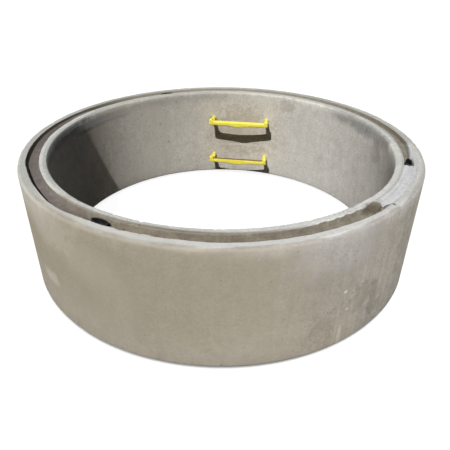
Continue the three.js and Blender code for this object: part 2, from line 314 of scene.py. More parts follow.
for vertex in ring.data.vertices:
    vertex.co = cast_shape(vertex.co)


# Leg holes and lifting recesses are cut out of the cast ring.
LIFTING_BEARINGS = {"left": -119.7, "right": -16.0, "back": 113.7}
LIFTING_RADIUS = JOINT_RADIUS - 4 * MM
CUP_LENGTH = 72 * MM          # along the groove
CUP_WIDTH = 28 * MM
CUP_DEPTH = 24 * MM
STEP_BEARING = 81.5
STEP_LEVELS = {"upper": RIM_LEVEL - 153 * MM, "lower": RIM_LEVEL - 388 * MM}
LEG_SPACING = 315 * MM
LEG_DIAMETER = 24 * MM
LEG_EMBEDMENT = 80 * MM
CLEARANCE = 0.3 * MM
LEG_CIRCLE = math.sqrt(BORE_RADIUS ** 2 - (LEG_SPACING / 2) ** 2)


def new_piece(name, build):
    """Object at the origin whose mesh is made by build(bmesh), with its faces turned outwards."""
    shape = bmesh.new()
    build(shape)
    bmesh.ops.recalc_face_normals(shape, faces=shape.faces)
    mesh = bpy.data.meshes.new(name)
    shape.to_mesh(mesh)
    shape.free()
    return placed(name, mesh)


def lofted(shape, place, loops):
    """Closed skin over loops of points, with a point in the middle of each end."""
    rows = [[shape.verts.new(place @ Vector(point)) for point in loop] for loop in loops]
    count = len(rows[0])
    for near, far in zip(rows, rows[1:]):
        for i in range(count):
            shape.faces.new((near[i - 1], near[i], far[i], far[i - 1]))
    for row in (rows[0], rows[-1]):
        middle = shape.verts.new(sum((v.co for v in row), Vector()) / count)
        for i in range(count):
            shape.faces.new((row[i - 1], row[i], middle))


def oval(half_length, half_width, level, points=64):
    """Level oval loop round the Z axis, its length along X."""
    turns = [2 * math.pi * i / points for i in range(points)]
    return [(half_length * math.cos(t), half_width * math.sin(t), level) for t in turns]


def lifting_place(side):
    """Turns a lifting point's own frame (X along the groove) to its place on the groove's floor."""
    turn = Matrix.Rotation(math.radians(LIFTING_BEARINGS[side]), 4, "Z")
    out = Matrix.Translation((LIFTING_RADIUS, 0, FLOOR_LEVEL))
    return turn @ out @ Matrix.Rotation(math.radians(-90), 4, "Z")


def step_place(level):
    """Turns a step's own frame (X along the tread, -Y toward the axis) to its place on the wall."""
    turn = Matrix.Rotation(math.radians(STEP_BEARING), 4, "Z")
    out = Matrix.Translation((LEG_CIRCLE, 0, level))
    return turn @ out @ Matrix.Rotation(math.radians(-90), 4, "Z")


def egg_rows(inset, top, steps=12):
    """Rows (half length, half width, level) of the recess, from its lowest point up to a level."""
    length, width, depth = CUP_LENGTH / 2 - inset, CUP_WIDTH / 2 - inset, CUP_DEPTH - inset
    turns = [math.pi / 2 * i / steps for i in range(1, steps + 1)]
    bowl = [(length * math.sin(t), width * math.sin(t), -depth * math.cos(t)) for t in turns]
    return bowl + [(length, width, top)]


def recess_cutters(shape):
    """Hollows for the three lifting points, egg-shaped below the groove's floor."""
    for side in LIFTING_BEARINGS:
        lofted(shape, lifting_place(side), [oval(*row) for row in egg_rows(0, 40 * MM)])


def leg_cutters(shape):
    """Round holes for the steps' legs, 1 mm deeper than they go."""
    lying = Matrix.Rotation(math.radians(-90), 4, "X")
    radius = LEG_DIAMETER / 2 + CLEARANCE
    hole = [oval(radius, radius, z, 32) for z in (-60 * MM, LEG_EMBEDMENT + MM)]
    for level in STEP_LEVELS.values():
        for side in (-1, 1):
            foot = Matrix.Translation((side * LEG_SPACING / 2, 0, 0))
            lofted(shape, step_place(level) @ foot @ lying, hole)


def cut(piece, build):
    """Takes the shape made by build(bmesh) out of a piece."""
    cutter = new_piece("cutter", build)
    modifier = piece.modifiers.new("cut", "BOOLEAN")
    modifier.object = cutter
    modifier.operation = "DIFFERENCE"
    modifier.solver = "MANIFOLD"
    mesh = finished_mesh(piece)
    piece.modifiers.remove(modifier)
    piece.data = mesh
    bpy.data.objects.remove(cutter)


cut(ring, recess_cutters)
cut(ring, leg_cutters)
ring.data.set_sharp_from_angle(angle=math.radians(42))
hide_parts("chamber_ring")
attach(ring, "root")


def emptied(owner):
    """Node tree of a material or world, with nothing in it."""
    owner.use_nodes = True
    owner.node_tree.nodes.clear()
    return owner.node_tree


# Dry-cast concrete: cement-grey with a tan cast, matt and a little cloudy from uneven damp, with
# sand grain, air holes where it lay against the moulds, and faint upright drag marks. Its rim is
# rubbed paler, and brown dust lies in the groove.
tree = emptied(cast_concrete)
position = add_node(tree, "ShaderNodeTexCoord").outputs["Object"]
x, y, level = add_node(tree, "ShaderNodeSeparateXYZ", {"Vector": position}).outputs
flat = add_node(tree, "ShaderNodeCombineXYZ", {"X": x, "Y": y})
radius = add_node(tree, "ShaderNodeVectorMath", {0: flat}, operation="LENGTH")
off_bore = add_node(tree, "ShaderNodeMath", {0: radius, 1: BORE_RADIUS}, operation="SUBTRACT")
off_joint = add_node(tree, "ShaderNodeMath", {0: radius, 1: JOINT_RADIUS}, operation="SUBTRACT")
from_joint = add_node(tree, "ShaderNodeMath", {0: off_joint}, operation="ABSOLUTE")
down = add_node(tree, "ShaderNodeMath", {0: RIM_LEVEL, 1: level}, operation="SUBTRACT")
# Way from the groove's outer edge over the rim and down the wall, uneven by 12 mm
across = add_node(tree, "ShaderNodeMath", {0: off_joint, 1: GROOVE_HALF}, operation="SUBTRACT")
across = add_node(tree, "ShaderNodeMath", {0: across, 1: 0.0}, operation="MAXIMUM")
path = add_node(tree, "ShaderNodeMath", {0: across, 1: down}, operation="ADD")
uneven = add_node(tree, "ShaderNodeTexNoise", {
    "Vector": position, "Scale": 1 / 0.09, "Detail": 4.0,
})
uneven = add_node(tree, "ShaderNodeMath", {0: uneven, 1: -0.5}, operation="ADD")
path = add_node(tree, "ShaderNodeMath", {0: uneven, 1: 30 * MM, 2: path}, operation="MULTIPLY_ADD")
# Distance from the seam between the fill and the rim's inner strip
from_seam = add_node(tree, "ShaderNodeMath", {0: from_joint, 1: 27 * MM}, operation="SUBTRACT")
from_seam = add_node(tree, "ShaderNodeMath", {0: from_seam}, operation="ABSOLUTE")
# The stain on the inner strip is widest at X = -0.2 and narrows by 30 mm a metre to either side.
slanted = add_node(tree, "ShaderNodeMath", {0: x, 1: 0.2}, operation="ADD")
slanted = add_node(tree, "ShaderNodeMath", {0: slanted}, operation="ABSOLUTE")
slanted = add_node(tree, "ShaderNodeMath", {
    0: slanted, 1: -0.03, 2: off_bore,
}, operation="MULTIPLY_ADD")

# Patterns: damp clouds of 300 mm, mottling of 45 mm, blotches of 12 mm and specks of 9 mm. Sand
# grains of 1 to 2 mm are too fine to show, so the grain is drawn at 5 mm.
pattern = {}
for name, size, detail, roughness in (
    ("cloud", 0.30, 3.0, 0.5), ("mottle", 0.045, 5.0, 0.62), ("blotch", 0.012, 4.0, 0.6),
    ("grain", 0.005, 3.0, 0.6), ("speck", 0.009, 2.0, 0.5),
):
    pattern[name] = add_node(tree, "ShaderNodeTexNoise", {
        "Vector": position, "Scale": 1 / size, "Detail": detail, "Roughness": roughness,
    })
# Drag marks of the mould, 30 mm wide and 550 mm long
drawn_up = add_node(tree, "ShaderNodeMapping", {"Vector": position, "Scale": (34.0, 34.0, 1.8)})
pattern["streak"] = add_node(tree, "ShaderNodeTexNoise", {
    "Vector": drawn_up, "Scale": 1.0, "Detail": 4.0,
})
# Marks of the pressing plate run round the rim, 7 mm apart.
unit = add_node(tree, "ShaderNodeVectorMath", {0: flat}, operation="NORMALIZE")
wide = add_node(tree, "ShaderNodeVectorMath", {0: unit, "Scale": 3.5}, operation="SCALE")
round_x, round_y, _ = add_node(tree, "ShaderNodeSeparateXYZ", {"Vector": wide}).outputs
outward = add_node(tree, "ShaderNodeMath", {0: radius, 1: 150.0}, operation="MULTIPLY")
ringwise = add_node(tree, "ShaderNodeCombineXYZ", {"X": round_x, "Y": round_y, "Z": outward})
pattern["pressing"] = add_node(tree, "ShaderNodeTexNoise", {
    "Vector": ringwise, "Scale": 1.0, "Detail": 5.0, "Roughness": 0.6,
})
# The specks come in loose groups.
pattern["grouped_speck"] = add_node(tree, "ShaderNodeMath", {
    0: pattern["mottle"], 1: 0.5, 2: pattern["speck"],
}, operation="MULTIPLY_ADD")

# Zones, each rising smoothly from 0 to 1 between two values, in mm, of a measure
zone = {}
for measure, bounds in (
    (x, {
        "far_right": (550, 660), "right": (0, 620), "fill_side": (450, 530),
        "open_side": (530, 450), "not_right": (360, 200), "right_front": (-220, -20),
        "to_middle": (150, -100), "back_left": (200, -100), "left": (-300, -700),
        "not_left": (-550, -400), "from_left": (-700, -550), "left_wall": (-540, -800),
        "groove_shade_side": (-500, -830), "bore_shade_side": (-580, -700), "far_side": (-580, -740),
        "far_left": (-650, -720),
    }),
    (y, {
        "back": (150, 650), "beyond_tail": (-50, 0), "fill_start": (-400, -480),
        "front": (-440, -560),
    }),
    (level, {"foot": (260, 40), "above": (400, 440)}),
    (down, {
        "top_band": (75, 20), "arris": (22, 8), "top": (14, 8), "sunk": (0.3, 1.1),
        "below_rim": (1.2, 2.4), "deep": (2.6, 4.0), "far_deep": (8, 16),
    }),
    (off_bore, {
        "bore_rim": (4, 11), "bore_rim_left": (5, 8), "bore_arris": (20, 5), "bore_strip": (28, 16),
    }),
    (slanted, {"stained_strip": (9, 26)}),
    (off_joint, {"outside": (-1, 1), "inside": (1, -1)}),
    (from_joint, {"wall_side": (19, 21), "in_groove": (24.5, 23), "by_groove": (36, 33)}),
    (from_seam, {"seam": (8, 2)}),
    (across, {"beside_edge": (26, 0)}),
    (path, {
        "pressed_strip": (38, 10), "front_strip": (34, 22), "front_edge": (62, 20),
        "left_strip": (70, 15), "edge": (95, 40), "left_edge": (190, 45),
    }),
):
    for name, (start, end) in bounds.items():
        zone[name] = add_node(tree, "ShaderNodeMapRange", {
            "Value": measure, "From Min": start * MM, "From Max": end * MM,
        }, interpolation_type="SMOOTHSTEP")

# Patches: a stretch of a pattern's values, and the strength at its start and end
for name, source, start, end, weak, strong in (
    # mottling of the painted shade at the top of the bore
    ("shade_mottle", "mottle", 0.38, 0.56, 0.25, 1.0),
    ("washed", "streak", 0.50, 0.75, 0.0, 0.2),
    ("pressed", "pressing", 0.32, 0.62, 0.0, 1.0),
    ("dusty", "mottle", 0.35, 0.65, 0.0, 1.0),
    ("specks", "grouped_speck", 0.91, 1.02, 0.0, 0.4),
):
    zone[name] = add_node(tree, "ShaderNodeMapRange", {
        "Value": pattern[source], "From Min": start, "From Max": end,
        "To Min": weak, "To Max": strong,
    })

# Zones made of others: where all of them are (MULTIPLY), or any of them (MAXIMUM)
for name, operation, *parts in (
    ("front_stretch", "MULTIPLY", "from_left", "to_middle"),
    ("pressed_rim", "MAXIMUM", "inside", "pressed_strip"),
    ("bore_side", "MAXIMUM", "not_left", "bore_rim_left"),
    ("inner_rim", "MULTIPLY", "inside", "bore_rim", "bore_side"),
    ("outer_rim", "MULTIPLY", "outside", "pressed_strip"),
    ("left_rim", "MULTIPLY", "far_side", "outside", "left_strip"),
    ("front_rim", "MULTIPLY", "front", "outside", "front_strip", "right_front"),
    ("rim", "MAXIMUM", "inner_rim", "outer_rim", "left_rim", "front_rim"),
    ("past_tail", "MULTIPLY", "far_right", "beyond_tail"),
    ("darker_bore_edge_right", "MULTIPLY", "past_tail", 0.75),
    ("darker_bore_edge_back", "MULTIPLY", "back", "back_left", 0.45),
    ("worn", "MAXIMUM", "darker_bore_edge_right", "darker_bore_edge_back"),
    ("dull_fill", "MULTIPLY", "fill_side", 0.3),
    ("dull", "MAXIMUM", "dull_fill", "back", "past_tail"),
    ("dry_right", "MULTIPLY", "right", 0.35),
    ("dry_dust", "MAXIMUM", "back", "dry_right"),
    ("broken_start", "MULTIPLY", "deep", "fill_start"),
    ("open_groove", "MAXIMUM", "broken_start", "far_deep", "beyond_tail", "open_side"),
    ("floor", "MULTIPLY", "in_groove", "sunk"),
    ("broken_edge", "MULTIPLY", "by_groove", "below_rim"),
    ("groove", "MAXIMUM", "floor", "broken_edge"),
    ("speckled", "MAXIMUM", "inside", 0.4),
):
    whole, *others = [zone.get(part, part) for part in parts]
    for other in others:
        whole = add_node(tree, "ShaderNodeMath", {0: whole, 1: other}, operation=operation)
    zone[name] = whole
zone["pale_edge"] = add_node(tree, "ShaderNodeMix", {
    0: zone["front_stretch"], 2: zone["edge"], 3: zone["front_edge"],
})


def coated(skin, *layers):
    """Lays tones over a skin in turn, each by the product of its zones, nodes and numbers."""
    for tone, *parts in layers:
        laid, *others = [zone.get(part, part) for part in parts]
        for other in others:
            laid = add_node(tree, "ShaderNodeMath", {0: laid, 1: other}, operation="MULTIPLY")
        skin = add_node(tree, "ShaderNodeMix", {0: laid, 6: skin, 7: tone}, data_type="RGBA")
    return skin


# Marks on the outer wall and in the bore: bearing; level, and size outward, along and up, in mm;
# tone; strength
WALL_MARKS = [
    (-60.4, 261, 20, 8, 7, "#D8D5CC", 0.6),          # splashes of lime
    (-59.0, 174, 20, 7, 6, "#D8D5CC", 0.5),
    (-60.3, 60, 30, 9, 62, "#C9C4B8", 0.5),          # lime runs
    (-61.6, 120, 30, 5, 80, "#BDB7AA", 0.3),
    (-139.0, 185, 40, 60, 30, "#C6BDB2", 0.4),       # pale smears
    (-134.0, 440, 40, 150, 90, "#B9B1A5", 0.35),
    (-64.0, 440, 40, 200, 80, "#B9B5B4", 0.35),
    (-54.3, 201, 40, 70, 60, "#726B5F", 0.35),       # damp
    (-49.0, 150, 40, 45, 90, "#7C7567", 0.4),
    (-66.0, 120, 40, 60, 90, "#847C6D", 0.35),
    (-101.0, 150, 40, 150, 110, "#8A816F", 0.15),
    (-36.0, 300, 40, 60, 160, "#7E776B", 0.35),
    (-115.0, 250, 40, 90, 130, "#A79F8D", 0.3),      # drier patches
    (-122.0, 370, 40, 130, 90, "#ABA290", 0.35),
]
BORE_MARKS = [
    (153.0, 450, 40, 130, 9, "#5A544A", 0.6),        # scored line below the rim
    (140.0, 453, 40, 110, 9, "#7A7468", 0.55),
    (150.0, 474, 50, 215, 24, "#D2D4D0", 0.6),       # pale strip above it
    (153.0, 200, 40, 85, 120, "#85817B", 0.5),       # painted shade, darkening the shaded wall near the shadow's edge
    (142.0, 505, 50, 120, 9, "#6F6C66", 0.3),
    (155.0, 352, 30, 6, 6, "#5A544A", 0.45),         # dark specks
    (148.5, 330, 30, 7, 6, "#5A544A", 0.45),
    (139.0, 350, 30, 6, 6, "#5A544A", 0.45),
    (127.5, 431, 30, 7, 6, "#5A544A", 0.45),
    (119.0, 354, 30, 6, 11, "#564F45", 0.5),
    (115.5, 238, 30, 7, 6, "#5A544A", 0.4),
    (111.0, 476, 30, 7, 6, "#5A544A", 0.45),
    (20.0, 480, 30, 90, 45, "#8C8E8A", 0.4),         # stained top of the wall
    (31.0, 485, 30, 60, 22, "#8C8E8A", 0.3),
    (8.0, 420, 30, 60, 60, "#9D968A", 0.35),
    (60.0, 470, 30, 60, 50, "#A89F90", 0.35),
    (80.0, 280, 40, 230, 150, "#B09E88", 0.38),      # tan cast round the steps
    (138.0, 300, 60, 330, 260, "#E6DED0", 0.5),      # painted light: the wall lit at a grazing angle made paler
    (83.0, 195, 30, 170, 7, "#DDD7CC", 0.55),        # trowel line
]
# Marks on the rim: bearing, radius, level and turn; the rest as above
RIM_MARKS = [
    (-46.1, 826.5, 515, -9, 4, 24, 9, "#58534A", 0.95),      # crack past the groove's end
    (-44.5, 837, 515, -10, 10, 5, 9, "#58534A", 0.95),
    (-97.0, 868, 511, 0, 14, 90, 16, "#A8A091", 0.6),        # rubbed edge
    (-16.0, 801, 497, 0, 15, 37, 26, "#2B282A", 0.85),       # near-black patch on the groove round the right cup
    (-48.6, 792, 500, 0, 26, 45, 26, "#5E5444", 0.75),       # painted shade in the broken corner of the groove
]
# Marks are ragged at their edges.
ragged = add_node(tree, "ShaderNodeMapRange", {
    "Value": pattern["mottle"], "From Min": 0.3, "From Max": 0.7, "To Min": -0.45, "To Max": 0.45,
})
ragged = add_node(tree, "ShaderNodeMath", {
    0: pattern["blotch"], 1: 1.3, 2: ragged,
}, operation="MULTIPLY_ADD")
ragged = add_node(tree, "ShaderNodeMath", {0: ragged, 1: -0.65}, operation="ADD")


def marked(skin, marks, fray):
    """Lays marks over a skin, their edges frayed by that much of their size."""
    for bearing, out, up, turn, thick, wide, tall, tone, strength in marks:
        angle = math.radians(bearing)
        local = add_node(tree, "ShaderNodeMapping", {
            "Vector": position,
            "Location": (out * MM * math.cos(angle), out * MM * math.sin(angle), up * MM),
            "Rotation": (0, 0, angle + math.radians(turn)),
            "Scale": (thick * MM, wide * MM, tall * MM),
        }, vector_type="TEXTURE")
        away = add_node(tree, "ShaderNodeVectorMath", {0: local}, operation="LENGTH")
        frayed = add_node(tree, "ShaderNodeMath", {
            0: ragged, 1: fray, 2: away,
        }, operation="MULTIPLY_ADD")
        mark = add_node(tree, "ShaderNodeMapRange", {
            "Value": frayed, "From Min": 1.35, "From Max": 0.45, "To Max": strength,
        }, interpolation_type="SMOOTHSTEP")
        skin = coated(skin, (tone, mark))
    return skin


wall = coated(
    "#968E7D",
    ("#9C968C", "right"),
    ("#A1998A", "foot", "open_side"),
    ("#BDB8AC", "left_wall", "left_edge"),
    (coated("#A9A398", ("#A7A39D", "right")), "pale_edge", 0.8),
)
bore = coated(
    "#CBC5B9",
    # painted light: the bore made paler toward the right
    ("#DBD6CD", "right"),
    # painted shade: the far left of the bore, in the sun's shadow, a cooler, darker grey
    ("#A4A29C", "far_left"),
    # painted shade, mottled: the top of the shaded left of the bore darkened, and its arris darker
    # still
    ("#5B5F5D", "shade_mottle", "bore_shade_side", "top_band", 0.65),
    ("#3F4543", "bore_shade_side", "arris", 0.5),
)
bore = marked(bore, [(at, BORE_RADIUS / MM, up, 0, *rest) for at, up, *rest in BORE_MARKS], 1.0)
wall = marked(wall, [(at, OUTER_RADIUS / MM, up, 0, *rest) for at, up, *rest in WALL_MARKS], 1.0)
skin = coated(
    bore,
    (wall, "outside"),
    ("#C9C4BA", "washed", "right", "outside"),               # pale streaks drawn down by rain
)
# The rim is palest where the pressing plate bore, and rubbed off toward the outside.
rim = coated(
    "#BAB9B3",
    ("#D6D5CF", "pressed"),
    ("#DEDDD8", "pressed_rim", 0.6),
    ("#C2C1BC", "back", 0.7),
    ("#DEDEDA", "back", "right", "inside", 0.4),
    ("#A0A19C", "left", "inside", "bore_strip", 0.5),
    ("#A0A299", "left", "outside", 0.5),
    (coated("#DAD5CA", ("#E2DEDA", "right_front")), "front", "outside", 0.35),
)
# Brown dust in the groove is paler toward the back. On the shaded left, the groove's outer wall is
# darkened almost to black: painted shade.
dust = coated(
    "#6E6659",
    ("#888070", "dusty"),
    ("#B2AEA2", "dry_dust"),
    ("#7A7273", "left", 0.6),
    ("#968D7F", "wall_side", "inside", 0.45),
    ("#8B8371", "wall_side", "outside", 0.9),
    ("#9E9888", "wall_side", "outside", "back", 0.6),
    # painted shade on the groove's outer wall on the left
    ("#332D25", "wall_side", "outside", "groove_shade_side", 0.85),
)
fill = coated("#C7C7C5", ("#DCDCDB", "pressed"))
skin = coated(
    skin,
    (rim, "top", "rim"),
    ("#8B8372", "front", "not_right", "stained_strip", "inside", "top", 0.95),
    # darker bore edge on the right and at the back
    ("#8D8B86", "worn", "bore_arris", "top_band"),
    ("#8F8B82", "dull", "beside_edge", "outside", "top", 0.55),
    ("#8F8B82", "fill_side", "seam", "inside", "top", 0.4),
    (coated(fill, (dust, "open_groove")), "groove", "above"),
)
skin = coated(marked(skin, RIM_MARKS, 0.5), ("#4A443C", "specks", "speckled"))

# Air holes, in three of ten cells of a 26 mm net and up to 8 mm across, and pin holes of up to
# 4 mm between them: cells a metre, colour that picks them, its threshold, radius and fade in cells
holes = []
for net, channel, threshold, widest, fade in (
    (38.0, "Red", 0.70, 0.15, 0.035), (110.0, "Green", 0.82, 0.22, 0.08),
):
    cells = add_node(tree, "ShaderNodeTexVoronoi", {"Vector": position, "Scale": net})
    pick = add_node(tree, "ShaderNodeSeparateColor", {"Color": cells.outputs["Color"]})
    size = add_node(tree, "ShaderNodeMapRange", {
        "Value": pick.outputs[channel], "From Min": threshold, "From Max": 1.0, "To Max": widest,
    })
    edge = add_node(tree, "ShaderNodeMath", {
        0: size, 1: cells.outputs["Distance"],
    }, operation="SUBTRACT")
    holes.append(add_node(tree, "ShaderNodeMapRange", {"Value": edge, "From Max": fade}))
pitted = add_node(tree, "ShaderNodeMath", {0: holes[0], 1: holes[1]}, operation="MAXIMUM")

# Shades of one colour
shade = add_node(tree, "ShaderNodeMapRange", {"Value": pitted, "To Min": 1.0, "To Max": 0.55})
for name, dark, light in (
    ("cloud", 0.93, 1.06), ("mottle", 0.90, 1.09), ("blotch", 0.89, 1.10), ("grain", 0.91, 1.08),
    ("streak", 0.97, 1.02),
):
    toned = add_node(tree, "ShaderNodeMapRange", {
        "Value": pattern[name], "From Min": 0.3, "From Max": 0.7, "To Min": dark, "To Max": light,
    })
    shade = add_node(tree, "ShaderNodeMath", {0: shade, 1: toned}, operation="MULTIPLY")
# The outer mould leaves a closer skin than the inner one, but for the rain-washed right.
close = add_node(tree, "ShaderNodeMapRange", {"Value": zone["right"], "To Min": 0.5, "To Max": 0.0})
close = add_node(tree, "ShaderNodeMath", {0: close, 1: zone["outside"]}, operation="MULTIPLY")
shade = add_node(tree, "ShaderNodeMix", {0: close, 2: shade, 3: 1.0})
tinted = add_node(tree, "ShaderNodeVectorMath", {0: skin, "Scale": shade}, operation="SCALE")

# Relief: 1 mm waves, grain, and the holes
relief = add_node(tree, "ShaderNodeMath", {
    0: pattern["mottle"], 1: 0.9, 2: pattern["grain"],
}, operation="MULTIPLY_ADD")
relief = add_node(tree, "ShaderNodeMath", {
    0: pattern["blotch"], 1: 0.5, 2: relief,
}, operation="MULTIPLY_ADD")
relief = add_node(tree, "ShaderNodeMath", {0: relief, 1: pitted}, operation="SUBTRACT")
bump = add_node(tree, "ShaderNodeBump", {"Height": relief, "Distance": 1.1 * MM, "Strength": 0.8})
surface = add_node(tree, "ShaderNodeBsdfPrincipled", {
    "Base Color": tinted, "Roughness": 0.95, "Specular IOR Level": 0.12, "Normal": bump,
})
add_node(tree, "ShaderNodeOutputMaterial", {"Surface": surface})


# ---- Step irons ----
# Each is a steel bar bent to a U and covered in moulded yellow polypropylene, with ribs against
# slipping, an ear at each end of the tread and a thicker grip with a lug in its middle. The legs
# are cast into the wall.

STEP_PROJECTION = 100 * MM
TREAD_LENGTH = 346 * MM
TREAD_WIDTH = 25 * MM
TREAD_HEIGHT = 25 * MM
TREAD_ROUND = 8 * MM
GRIP_HALF = 55 * MM
GRIP_DROP = 3 * MM
LUG_HALF = 29 * MM
LUG_DROP = 5 * MM
EAR_WIDTH = 18 * MM
EAR_HEIGHT = 12 * MM
KNEE_RADIUS = 30 * MM         # of the bar's bend between leg and tread, on its axis
RIB_PITCH = 9 * MM
RIB_WIDTH = 3.8 * MM
RIB_LENGTH = 16.4 * MM
RIB_HEIGHT = 1.2 * MM
RIB_COUNT = 31
tread_middle = -STEP_PROJECTION + TREAD_WIDTH / 2


def tread_loop(x, shrink):
    """Section of the tread at x: a rounded oblong, drawn in by `shrink` where the end is round."""
    away = abs(x)
    ear_inside = TREAD_LENGTH / 2 - EAR_WIDTH
    top = TREAD_HEIGHT / 2 - shrink
    top += EAR_HEIGHT * ramp(away, ear_inside - 9 * MM, ear_inside + 3 * MM)
    bottom = -TREAD_HEIGHT / 2 + shrink
    bottom -= GRIP_DROP * ramp(away, GRIP_HALF + 8 * MM, GRIP_HALF - 6 * MM)
    bottom -= LUG_DROP * ramp(away, LUG_HALF, LUG_HALF - 2 * MM)
    half = TREAD_WIDTH / 2 - shrink
    rounding = TREAD_ROUND - shrink
    loop = []
    for side, end, first in ((1, top, 0), (-1, top, 90), (-1, bottom, 180), (1, bottom, 270)):
        up = 1 if end == top else -1
        for k in range(6):
            t = math.radians(first + 18 * k)
            loop.append((x, tread_middle + side * (half - rounding) + rounding * math.cos(t),
                         end - up * rounding + rounding * math.sin(t)))
    return loop


def knee_loop(side, turned):
    """Section of the bar's bend, `turned` from the leg's direction toward the tread's."""
    out = Vector((side * math.cos(turned), -math.sin(turned), 0))
    up = Vector((0, 0, 1))
    pivot = Vector((side * (LEG_SPACING / 2 - KNEE_RADIUS), tread_middle + KNEE_RADIUS, 0))
    centre = pivot + KNEE_RADIUS * out
    turns = [2 * math.pi * i / 24 for i in range(24)]
    return [centre + LEG_DIAMETER / 2 * (math.cos(t) * out + math.sin(t) * up) for t in turns]


def bar_and_tread(shape):
    """Tread with rounded ends, two legs, and a knee between each and the tread."""
    still = Matrix.Identity(4)
    straight = TREAD_LENGTH / 2 - TREAD_ROUND
    count = 170
    stations = [(-straight + 2 * straight * i / count, 0) for i in range(count + 1)]
    for k in range(1, 6):
        t = math.radians(17.5 * k)
        beyond = straight + TREAD_ROUND * math.sin(t)
        shrink = TREAD_ROUND * (1 - math.cos(t))
        stations = [(-beyond, shrink)] + stations + [(beyond, shrink)]
    lofted(shape, still, [tread_loop(*station) for station in stations])
    lying = Matrix.Rotation(math.radians(-90), 4, "X")
    radius = LEG_DIAMETER / 2
    for side in (-1, 1):
        leg = Matrix.Translation((side * LEG_SPACING / 2, 0, 0)) @ lying
        lofted(shape, leg, [oval(radius, radius, z, 32) for z in (tread_middle, LEG_EMBEDMENT)])
        lofted(shape, still, [knee_loop(side, math.radians(9 * k)) for k in range(11)])


moulded = new_piece("bar_and_tread", bar_and_tread)
first_rib = (-RIB_PITCH * (RIB_COUNT - 1) / 2, tread_middle, TREAD_HEIGHT / 2)
ribbing = new_tree("rib_tread", {
    "Rib Count": ("NodeSocketInt", RIB_COUNT),
    "Rib Pitch": ("NodeSocketFloat", RIB_PITCH),
    "Rib Size": ("NodeSocketVector", (RIB_WIDTH / 2, RIB_LENGTH / 2, RIB_HEIGHT)),
    "First Rib": ("NodeSocketVector", first_rib),
    "Material": ("NodeSocketMaterial", None),
})
given = add_node(ribbing, "NodeGroupInput")
apart = add_node(ribbing, "ShaderNodeCombineXYZ", {"X": given.outputs["Rib Pitch"]})
row = add_node(ribbing, "GeometryNodeMeshLine", {
    "Count": given.outputs["Rib Count"], "Start Location": given.outputs["First Rib"],
    "Offset": apart,
})
rib = add_node(ribbing, "GeometryNodeMeshUVSphere", {"Segments": 16, "Rings": 10, "Radius": 1.0})
ribs = add_node(ribbing, "GeometryNodeInstanceOnPoints", {
    "Points": row, "Instance": rib, "Scale": given.outputs["Rib Size"],
})
together = add_node(ribbing, "GeometryNodeJoinGeometry", {"Geometry": ribs})
ribbing.links.new(given.outputs["Geometry"], together.inputs["Geometry"])
end_tree(ribbing, together, given.outputs["Material"])

yellow_polypropylene = bpy.data.materials.new("yellow polypropylene")
ribbed = grown("ribbed_step", moulded, ribbing, {"Material": yellow_polypropylene})

# One skin over bar, tread and ribs, as the moulding has
skin_over = ribbed.modifiers.new("skin", "REMESH")
skin_over.mode = "VOXEL"
skin_over.voxel_size = 1.35 * MM
soften = ribbed.modifiers.new("soften", "SMOOTH")
soften.factor = 0.5
soften.iterations = 3
moulding = finished_mesh(ribbed)
bpy.data.objects.remove(ribbed)
moulding.shade_smooth()
moulding.materials.clear()
moulding.materials.append(yellow_polypropylene)

for name, step_level in STEP_LEVELS.items():
    mesh = moulding.copy()
    mesh.transform(step_place(step_level))
    step_iron = placed(f"{name}_moulded_step", mesh)
    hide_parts(f"{name}_step_iron")
    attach(step_iron, "root")

# Polypropylene, injection moulded: a full safety yellow with a satin skin, dulled by a film of
# cement dust that is thickest near the wall. Its spark-eroded grain of 0.2 mm is too fine to show
# and is drawn at 1.2 mm. Mud lies on top of the lower tread.
tree = emptied(yellow_polypropylene)
position = add_node(tree, "ShaderNodeTexCoord").outputs["Object"]
x, y, level = add_node(tree, "ShaderNodeSeparateXYZ", {"Vector": position}).outputs
flat = add_node(tree, "ShaderNodeCombineXYZ", {"X": x, "Y": y})
radius = add_node(tree, "ShaderNodeVectorMath", {0: flat}, operation="LENGTH")
smut = add_node(tree, "ShaderNodeTexNoise", {
    "Vector": position, "Scale": 1 / 0.018, "Detail": 5.0, "Roughness": 0.65,
})
uneven = add_node(tree, "ShaderNodeTexNoise", {
    "Vector": position, "Scale": 1 / 0.06, "Detail": 2.0,
})
spark = add_node(tree, "ShaderNodeTexNoise", {
    "Vector": position, "Scale": 1 / 0.0012, "Detail": 2.0,
})
tone = add_node(tree, "ShaderNodeMapRange", {"Value": uneven, "From Min": 0.35, "From Max": 0.65})
yellow = add_node(tree, "ShaderNodeMix", {0: tone, 6: "#F8E54A", 7: "#FFF262"}, data_type="RGBA")
by_wall = add_node(tree, "ShaderNodeMapRange", {
    "Value": radius, "From Min": BORE_RADIUS - 50 * MM, "From Max": BORE_RADIUS - 2 * MM,
    "To Min": -0.06, "To Max": 0.16,
})
film = add_node(tree, "ShaderNodeMath", {0: smut, 1: by_wall}, operation="ADD")
film = add_node(tree, "ShaderNodeMapRange", {
    "Value": film, "From Min": 0.56, "From Max": 0.80, "To Max": 0.55,
})
yellow = add_node(tree, "ShaderNodeMix", {0: film, 6: yellow, 7: "#B7AC7C"}, data_type="RGBA")
out = math.radians(STEP_BEARING)
outward = add_node(tree, "ShaderNodeVectorMath", {
    0: position, 1: (math.cos(out), math.sin(out), 0),
}, operation="DOT_PRODUCT")
tread_back = LEG_CIRCLE - STEP_PROJECTION + TREAD_WIDTH
lower = STEP_LEVELS["lower"]
mud = add_node(tree, "ShaderNodeMath", {0: outward, 1: tread_back + MM}, operation="LESS_THAN")
